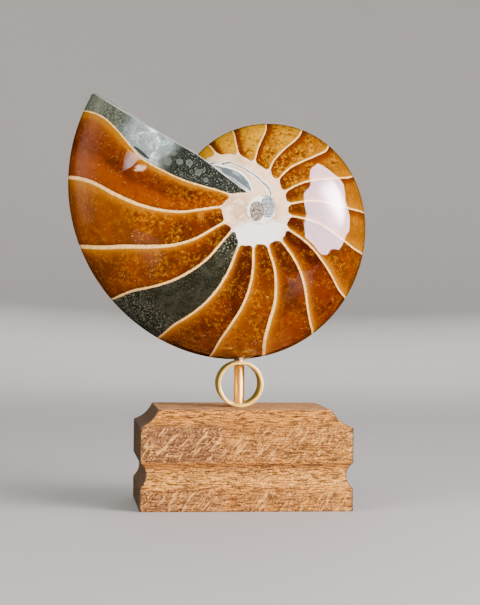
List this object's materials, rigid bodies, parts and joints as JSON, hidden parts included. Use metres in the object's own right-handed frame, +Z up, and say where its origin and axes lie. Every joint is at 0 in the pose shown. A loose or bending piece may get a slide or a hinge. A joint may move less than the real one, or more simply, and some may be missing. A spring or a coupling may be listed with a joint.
{
  "type": "polished fossil nautilus half on stand",
  "caption": "Half of a polished fossil nautilus, chambered and coiled, standing on a brass post and ring over a moulded oak base.",
  "frame": {"origin": "middle of the underside of the oak base, on the surface it stands on", "axes": "+Z up, towards the tip of the shell's saw cut; -Y is the front, which the polished flank faces; +X is the viewer's right"},
  "size_m": [0.1443, 0.064, 0.197],
  "materials": {
    "oak": "oiled oak with dark pores and pale ray flecks, satin",
    "brushed_brass": "pale brushed brass, sawn ends dressed flat",
    "drawn_brass": "warm drawn rod with fine lines along it",
    "polished_fossil": "mirror-polished amber calcite with cream sutures, a white umbilicus and grey-green matrix"
  },
  "bodies": {
    "root": {"oak_base": "oak", "brass_ring": "brushed_brass", "brass_post": "drawn_brass", "nautilus_half": "polished_fossil"}
  },
  "joints": []
}
